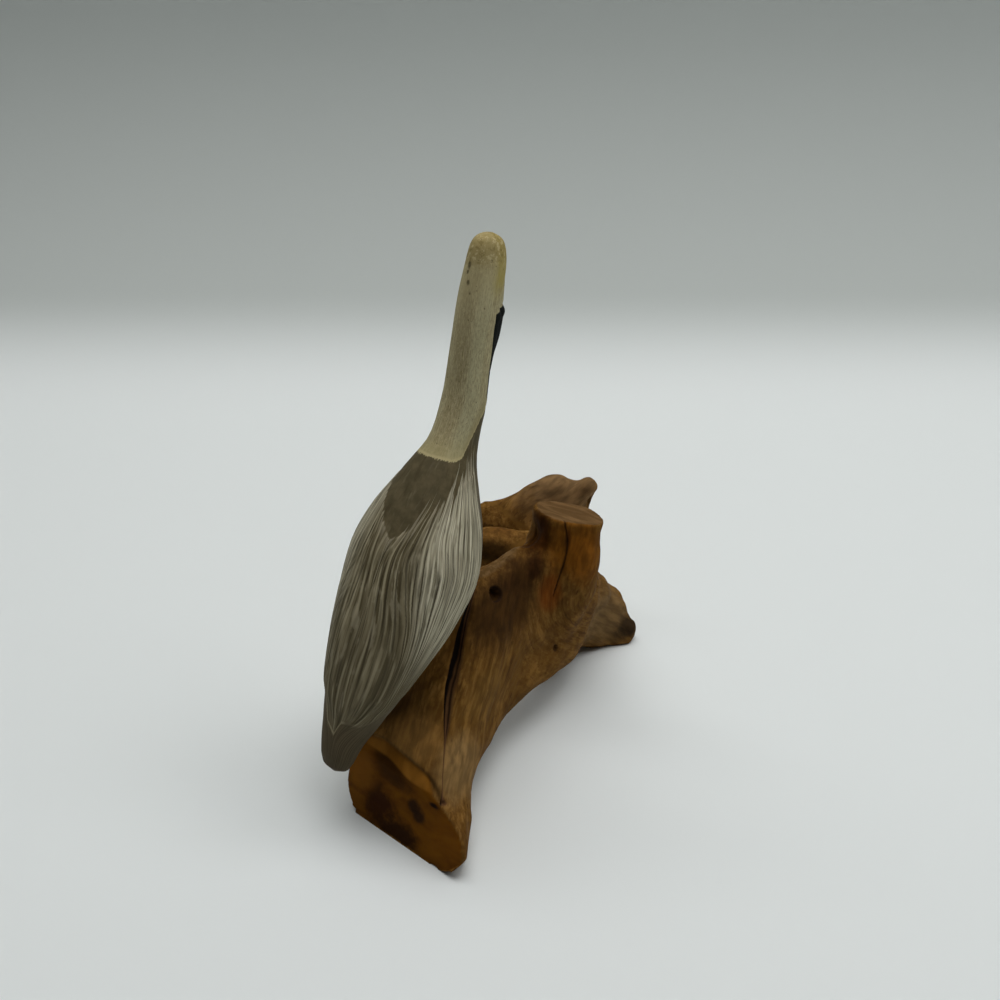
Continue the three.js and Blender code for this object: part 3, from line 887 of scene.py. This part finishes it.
def softened_rims(points, edges, planes):
    """Evens out the rims of the saw cuts."""
    for spot, facing in planes:
        inside = (np.abs((points - spot) @ facing) < 0.1).astype(float)[:, None]
        for _ in range(2):
            inside = neighbour_mean(inside, edges)
        rim = ramp(0.05, 0.5, 4 * inside * (1 - inside)) * ramp(1.0, 2.5, points[:, 2:])
        points = relaxed(points, edges, rim, RIM_SMOOTHING)
    return points


def sharp_edge(points, first, second, reach, until):
    """Moves the points beside the edge between two planes onto it, up to the given x."""
    gaps = np.stack([(points - spot) @ facing for spot, facing in (first, second)])
    beside = (np.abs(gaps) < reach).all(axis=0) & (points[:, 0] < until)
    facings = np.stack([first[1], second[1]])
    moves = np.linalg.solve(facings @ facings.T, gaps[:, beside])
    moved = points.copy()
    moved[beside] -= moves.T @ facings
    return moved


def worn_corner(points):
    """Rounds the lower right corner of the front foot."""
    x = points[:, 0] - WORN_CORNER["x"]
    z = points[:, 2] - WORN_CORNER["z"]
    pull = np.minimum(WORN_CORNER["radius"] / np.maximum(np.hypot(x, z), 1e-6), 1)
    fade = ramp(WORN_CORNER["until"], WORN_CORNER["behind"], points[:, 1])
    share = np.where((x > 0) & (z < 0), fade * (1 - pull), 0)
    moved = points.copy()
    moved[:, 0] -= x * share
    moved[:, 2] -= z * share
    return moved


def grain_relief(points, places, weights):
    """Ribs along the grain, and lumps."""
    def ribs(wide, long, seed):
        size = np.array([wide, wide, long])
        layers = [smooth_noise(place / size, seed + k) * weights[k] for k, place in enumerate(places)]
        return sum(layers)

    return (
        WEATHERING["rib"] * ribs(2.3, 20, 11) + WEATHERING["fine_rib"] * ribs(1.0, 9, 21)
        + WEATHERING["lump"] * smooth_noise(points / 7, 15))


def line_relief(lines, front_cut):
    """The crack, the groove, the step at the bevel's top and the crest."""
    crack, groove, bevel_top, crest = [lines[name].T for name in LINES]
    crack_wall = ramp(-0.4, 0.5, crack[0] + crack[1])
    crack_wall *= ramp(3.6, -0.2, crack[0] / crack[1])
    crack_depth = np.minimum(WEATHERING["crack"], 2.6 * crack[1]) * (1 - 0.7 * front_cut)
    over = ramp(0.2, -0.3, bevel_top[0]) * ramp(-3, -0.6, bevel_top[0])
    under = ramp(-0.15, 0.25, bevel_top[0]) * ramp(3.0, 0.4, bevel_top[0])
    relief = -crack[2] * crack_wall * crack_depth
    relief -= WEATHERING["groove"] * groove[2] * ramp(2.2, 0.6, np.abs(groove[0] / groove[1]))
    relief += bevel_top[2] * (WEATHERING["over_bevel"] * over - WEATHERING["under_bevel"] * under)
    relief += WEATHERING["crest"] * crest[2] * ramp(1.5, 0.5, np.abs(crest[0] / crest[1]))
    return relief


def hollow_relief(points):
    """The shallow hollows and the borer holes."""
    relief = np.zeros(len(points))
    for centre, radius, depth in HOLLOWS:
        relief -= depth * ramp(radius, 0, np.linalg.norm(points - np.array(centre), axis=1))
    for centre, radius, depth in HOLES:
        gap = np.linalg.norm(points - np.array(centre), axis=1) - radius
        relief -= depth * ramp(0.2, -0.45, gap)
    return relief


def make_driftwood():
    wood = fine_copy("driftwood", "weathered_driftwood", DRIFTWOOD_VOXEL)
    mesh = wood.data
    front, bevel = cut_plane(FRONT_CUT), cut_plane(BEVEL_CUT)
    stub_top = (np.array([0, 0, STUB_TOP]), np.array([0.0, 0, 1]))
    floor = (np.zeros(3), np.array([0.0, 0, -1]))
    planes = [front, bevel, stub_top, floor]
    edges = edges_of(mesh)
    points = without_facets(points_of(mesh), edges, DRIFTWOOD_SMOOTHING, planes)
    points = worn_corner(points)
    points = without_facets(points, edges, CORNER_SMOOTHING, planes)
    points = rounded_root(points, edges)
    points = softened_rims(points, edges, planes[:3])
    points = sharp_edge(points, front, floor, 0.5, WORN_CORNER["x"])
    place_points(mesh, points)
    normals = normals_of(mesh)

    cuts = {}
    for name, (spot, facing) in zip(("front_cut", "bevel_cut", "stub_top"), planes):
        on_plane = ramp(0.4, 0.15, np.abs((points - spot) @ facing))
        cuts[name] = on_plane * ramp(0.8, 0.95, normals @ facing)
    lines = {name: line_offset(points, normals, stations) for name, stations in LINES.items()}
    places, weights = blended_grain(points)
    worn = (1 - np.max(list(cuts.values()), axis=0)) * (1 - 0.55 * weights[2])
    relief = worn * grain_relief(points, places, weights)
    relief += line_relief(lines, cuts["front_cut"]) + hollow_relief(points)
    relief *= ramp(0.0, 3.0, points[:, 2])
    moved = points + normals * relief[:, None]
    moved[:, 2] = np.maximum(moved[:, 2], 0)
    place_points(mesh, moved)

    add_attributes(mesh, {
        **dict(zip(GRAIN_PLACES, places)), **cuts, **lines, "grain_share": weights.T,
        "grain_seam": grain_seams(places, weights, edges),
        "below_bevel": below_bevel(points, front, bevel),
    })
    mesh.materials.append(DriftwoodGrain().finished())
    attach(wood, "root")
    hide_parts("driftwood")


class DriftwoodGrain(Surface):
    """Golden-brown driftwood: streaked along its grain, with painted shade in its hollows, cracks and
    holes and under the bird, smooth on its cuts.
    """

    def __init__(self):
        super().__init__("driftwood_wood")
        self.shares = self.read("grain_share", "Vector")
        self.broad = self.grain(4.5, 16)
        self.middle = self.grain(1.5, 5.0, 3, 0.5)
        self.fine = self.grain(0.55, 4.5, 2, 0.55)
        self.streaks = self.grain(1.0, 11)
        self.sawn = self.read("front_cut").larger(self.read("bevel_cut"))

    def grain(self, wide, long, detail=2, roughness=0.6):
        """Noise drawn out along the grain of the trunk, the stub and the branches."""
        layers = []
        for index, name in enumerate(GRAIN_PLACES):
            place = self.read(name, "Vector").scaled(1 / wide, 1 / wide, 1 / long)
            layers.append(place.noise(detail, roughness) * self.shares.part(index))
        return layers[0] + layers[1] + layers[2]

    def across(self, name):
        """A drawn line's signed distance in half widths and in millimetres, and its presence."""
        drawn = self.read(name, "Vector")
        return drawn.part(0) / drawn.part(1), drawn.part(0), drawn.part(2)

    def stained_and_shaded(self, colour, stains_and_shade, raggedness, tint=None):
        """Lays stains and painted shade over a colour. With a tint, they are darker and lighter along
        the grain.
        """
        edge = (self.spot.noise(4, 0.6, scale=0.35) - 0.5) * raggedness
        for centre, reach, strength, patch_colour in stains_and_shade:
            paint = from_screen(patch_colour)
            if tint:
                dark, light = [from_screen([factor * value for value in patch_colour]) for factor in tint]
                paint = self.middle.step(0.3, 0.7).mix(dark, light)
            colour = (self.spot.near(centre, reach, edge) * strength).mix(colour, paint)
        return colour

    def outside(self):
        """The wood along the grain, with its stains, its painted shade and the lighter crest."""
        mottle = self.spot.noise(4, 0.58, scale=0.26)
        wood = self.middle.step(0.37, 0.63).tones("wood").coated(
            (self.broad.step(0.4, 0.6, 0.55, 0), (96, 64, 24)),
            (self.fine.step(0.38, 0.48, 0.3, 0), (78, 50, 18)),
            (self.fine.step(0.56, 0.66, 0, 0.22), (150, 116, 64)),
            (mottle.step(0.5, 0.6, 0, 0.5), (82, 54, 20)),
            (self.streaks.step(0.57, 0.68, 0, 0.38), (66, 40, 15)),
            (self.streaks.step(0.41, 0.32, 0, 0.35), (146, 108, 58)),
            (self.read("grain_seam"), (108, 76, 32)),
        )
        wood = self.stained_and_shaded(wood, STAINS_AND_SHADE, 0.45, tint=(0.87, 1.13))
        wood = wood.coated((self.streaks.step(0.58, 0.7, 0, 0.22), (50, 30, 12)))
        crest, _, drawn = self.across("crest")
        on_crest = abs(crest).step(0.4, 1.2, 0.7, 0) * drawn
        return on_crest.mix(wood, self.middle.step(0.4, 0.6).tones("crest"))

    def with_cuts(self, wood):
        """The foot's saw cut with the lighter bevel over it and a painted shade just under the bevel,
        and the stub's sawn top.
        """
        x = self.spot.part(0)
        rings = self.spot.scaled(0.1, 0.5, 0.22).noise(3, distortion=0.6).step(0.35, 0.65)
        below = self.read("below_bevel") + x.step(1, 11, 2.1, 0)
        # Painted shade on the cut, just under the bevel's lower edge.
        painted_shade_under_bevel = below.step(0.5, 5.5, 0.75, 0) * x.step(5, 14, 1, 0) * x.step(-5, 1, 0.2, 1)
        cut = self.stained_and_shaded(rings.tones("cut"), CUT_STAINS_AND_SHADE, 1.1).coated((painted_shade_under_bevel, (50, 27, 5)))
        on_bevel = self.read("bevel_cut") * below.step(-0.5, 0.3, 1, 0)
        _, under_line, drawn = self.across("bevel_top")
        over_line = under_line.step(-0.3, 0.3, 1, 0) * drawn
        colour = self.sawn.mix(wood, cut)
        colour = on_bevel.mix(colour, self.broad.step(0.35, 0.65).tones("bevel"))
        colour = over_line.mix(colour, wood)
        return self.read("stub_top").mix(colour, rings.tones("stub_top"))

    def with_lines(self, colour):
        """Painted shade along the bevel's top edge, in the groove, the crack and the holes, and the
        crack's inner wall.
        """
        # The dark lines along the bevel's top edge and in the groove are painted shade.
        for name, strength, width in (("bevel_top", 0.5, 5.0), ("groove", 0.8, 2.4)):
            share, _, drawn = self.across(name)
            colour = colour.coated((abs(share).step(0.2, width, strength, 0) * drawn, (38, 22, 6)))
        z = self.spot.part(2)
        share, _, drawn = self.across("crack")
        wall = share.step(-1.2, -0.9) * share.step(1.6, 3.6, 1, 0)
        # The crack's dark core and the dark line on its far side are painted shade.
        dark = share.step(-1.3, -1.0) * (share - z.step(26, 33, -0.7, 0)).step(-0.2, 0.9, 1, 0)
        far_side_shade = abs(share - 1.5).step(0.1, 0.7, 0.7, 0) * z.step(22, 25)
        colour = colour.coated(
            (wall * drawn * 0.75, (92, 64, 44)), (dark.larger(far_side_shade) * drawn, (18, 11, 7)))
        # The holes' dark insides are painted shade.
        for centre, radius, _ in HOLES:
            gap = self.spot.moved(*(-value for value in centre)).length()
            colour = colour.coated((gap.step(radius - 0.15, radius + 0.6, 0.95, 0), (22, 14, 14)))
        return colour

    def finished(self):
        """The bumps are weaker on the saw cuts and the branches, and gone on the grain's seams."""
        relief = (self.fine * 0.6 + self.middle * 0.8) * (1.0 - self.sawn * 0.8)
        relief = relief * (1.0 - self.read("grain_seam"))
        relief = relief * self.shares.part(2).step(0, 1, 1, 0.45)
        return self.filled({
            "Base Color": self.with_lines(self.with_cuts(self.outside())),
            "Roughness": self.fine.step(0.3, 0.7, 0.7, 0.82) - self.sawn * 0.08,
            "Specular IOR Level": 0.04,
            "Normal": relief.bump(0.5, 0.25),
        })


# The stage.
def make_stage():
    """A pale seamless floor that curves up into a wall behind the object, with painted shade on the
    wall.
    """
    back, bend, half = BACKDROP["back"], BACKDROP["bend"], BACKDROP["half_width"]
    profile = [(BACKDROP["front"], 0.0), (back, 0.0)]
    for step in range(1, BEND_STEPS + 1):
        turn = math.radians(90 * step / BEND_STEPS)
        profile.append((back + bend * math.sin(turn), bend * (1 - math.cos(turn))))
    profile.append((back + bend, BACKDROP["height"]))
    heading = math.radians(CAMERA_AZIMUTH)
    sight = Vector((-math.sin(heading), math.cos(heading), 0))
    side = Vector((math.cos(heading), math.sin(heading), 0))
    vertices = [sight * y + side * x + Vector((0, 0, z)) for y, z in profile for x in (-half, half)]
    faces = [(2 * i, 2 * i + 1, 2 * i + 3, 2 * i + 2) for i in range(len(profile) - 1)]
    mesh = bpy.data.meshes.new("backdrop")
    mesh.from_pydata(vertices, [], faces)
    for polygon in mesh.polygons:
        polygon.use_smooth = True
    floor = add_object("backdrop", mesh)
    paper = Surface("backdrop_paper")
    # The paper darkens to a painted shade as it rises into the wall.
    wall = paper.spot.part(2).step(0, WALL_BLEND)
    mesh.materials.append(paper.filled({
        "Base Color": wall.mix(FLOOR_COLOUR, SHADED_WALL_COLOUR), "Roughness": PAPER_ROUGHNESS,
    }))


def make_lamp(name, place, target, size, power):
    light = bpy.data.lights.new(name, "AREA")
    light.shape = "DISK"
    light.size = size
    light.energy = power
    lamp = add_object(name, light)
    lamp.location = place
    lamp.rotation_euler = (Vector(target) - Vector(place)).to_track_quat("-Z", "Y").to_euler()


def make_camera():
    lens = bpy.data.cameras.new("photo_camera")
    lens.lens = CAMERA_LENS
    lens.sensor_width = 36
    lens.clip_start = 0.01
    camera = add_object("photo_camera", lens)
    camera.location = CAMERA_PLACE
    camera.rotation_euler = (math.radians(90 - CAMERA_DOWN), 0, math.radians(CAMERA_AZIMUTH))
    bpy.context.scene.camera = camera


def make_world():
    world = bpy.data.worlds.new("soft_room")
    world.use_nodes = True
    background = world.node_tree.nodes["Background"]
    background.inputs["Color"].default_value = (*ROOM_COLOUR, 1.0)
    background.inputs["Strength"].default_value = ROOM_STRENGTH
    bpy.context.scene.world = world


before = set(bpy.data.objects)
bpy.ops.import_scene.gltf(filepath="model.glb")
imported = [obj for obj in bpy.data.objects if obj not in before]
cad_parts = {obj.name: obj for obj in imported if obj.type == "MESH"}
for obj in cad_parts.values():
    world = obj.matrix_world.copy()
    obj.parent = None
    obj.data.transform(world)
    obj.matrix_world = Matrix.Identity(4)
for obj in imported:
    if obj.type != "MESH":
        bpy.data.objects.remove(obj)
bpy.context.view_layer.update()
bpy.context.scene.view_settings.view_transform = "Standard"
make_camera()
make_world()
make_stage()
for lamp_values in LAMPS:
    make_lamp(*lamp_values)
make_pelican()
make_driftwood()
